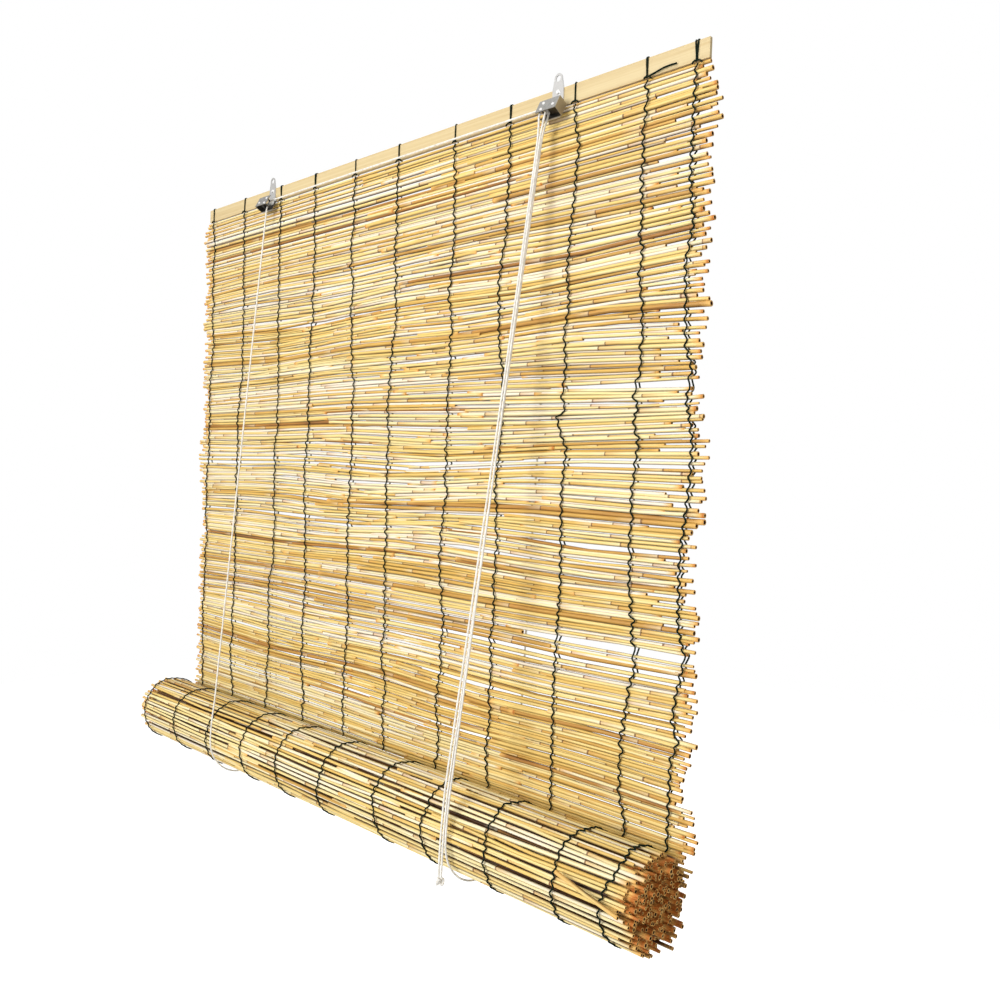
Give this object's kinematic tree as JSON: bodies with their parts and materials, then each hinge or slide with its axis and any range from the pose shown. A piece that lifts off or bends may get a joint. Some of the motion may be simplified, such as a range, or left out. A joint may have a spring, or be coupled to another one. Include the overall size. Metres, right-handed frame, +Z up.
{
  "type": "reed roll-up blind",
  "caption": "Roll-up window blind: a woven reed mat hung from a flat wooden rail, wound into a roll below, raised by cords that run through a riveted steel cord lock.",
  "frame": {"origin": "midway between the centres of the two hanging eyes, in the hanger plates' middle plane", "axes": "+X along the rail to the right as the room sees it, +Y back to the window, +Z up"},
  "size_m": [1.036, 0.1251, 0.9466],
  "materials": {
    "pine": "planed, unvarnished",
    "reed": "dry reed, satin skin",
    "twine": "thin twisted twine",
    "zinc": "zinc plated strip",
    "steel": "plated sheet",
    "wheel": "moulded nylon",
    "brass": "plain",
    "cord": "braided white cord"
  },
  "bodies": {
    "headrail": {"headrail": "pine", "rail_thread_loops": "twine", "reed_mat": "reed", "binding_threads": "twine", "right_hanger": "zinc", "left_hanger": "zinc", "hanger_rivets": "steel", "lock_housing": "steel", "pulley_housing": "steel", "lock_axle": "steel", "left_axle": "steel", "guide_post": "steel", "pawl_pivot": "steel", "left_lower_post": "steel", "left_side_post": "steel", "right_wheel_cord": "cord", "cross_cord": "cord", "right_lift_front": "cord", "left_lift_front": "cord", "right_pull_upper": "cord", "left_pull_upper": "cord", "right_lift_back": "cord", "left_lift_back": "cord", "lift_cord_knots": "cord"},
    "slings": {"right_sling": "cord", "left_sling": "cord", "right_pull_tail": "cord", "left_pull_tail": "cord", "pull_knot": "cord"},
    "roll": {"reed_roll": "reed", "bottom_rod": "pine"},
    "lock_wheel_inner": {"lock_wheel_inner": "wheel"},
    "lock_wheel_outer": {"lock_wheel_outer": "wheel"},
    "left_wheel": {"left_wheel": "wheel"},
    "brake_pawl": {"brake_pawl": "brass"}
  },
  "joints": [
    {"name": "roll_lift", "type": "slide", "parent": "headrail", "child": "slings", "axis": [0, 0, 1], "range_m": [0, 0.74], "deforming": ["reed_mat", "binding_threads", "right_lift_front", "left_lift_front", "right_pull_upper", "left_pull_upper", "right_lift_back", "left_lift_back"]},
    {"name": "roll_turn", "type": "hinge", "parent": "slings", "child": "roll", "pos_m": [0, -0.0504, -0.8813], "axis": [-1, 0, 0], "range_deg": [0, 810]},
    {"name": "lock_wheel_outer_turn", "type": "hinge", "parent": "headrail", "child": "lock_wheel_outer", "pos_m": [0.292, -0.01268, -0.03355], "axis": [0, -0.8829, 0.4695], "continuous": true},
    {"name": "lock_wheel_inner_turn", "type": "hinge", "parent": "headrail", "child": "lock_wheel_inner", "pos_m": [0.292, -0.00756, -0.03627], "axis": [0, -0.8829, 0.4695], "continuous": true},
    {"name": "left_wheel_turn", "type": "hinge", "parent": "headrail", "child": "left_wheel", "pos_m": [-0.292, -0.00756, -0.03627], "axis": [0, -0.8829, 0.4695], "continuous": true},
    {"name": "brake_release", "type": "hinge", "parent": "headrail", "child": "brake_pawl", "pos_m": [0.3087, -0.01321, -0.04051], "axis": [0, -0.8829, 0.4695], "range_deg": [0, 25]}
  ],
  "couplings": [
    {"joint": "roll_turn", "follows": "roll_lift", "rad_per_m": 18.868},
    {"joint": "lock_wheel_outer_turn", "follows": "roll_lift", "rad_per_m": 470.59},
    {"joint": "lock_wheel_inner_turn", "follows": "roll_lift", "rad_per_m": -470.59},
    {"joint": "left_wheel_turn", "follows": "roll_lift", "rad_per_m": -470.59}
  ]
}
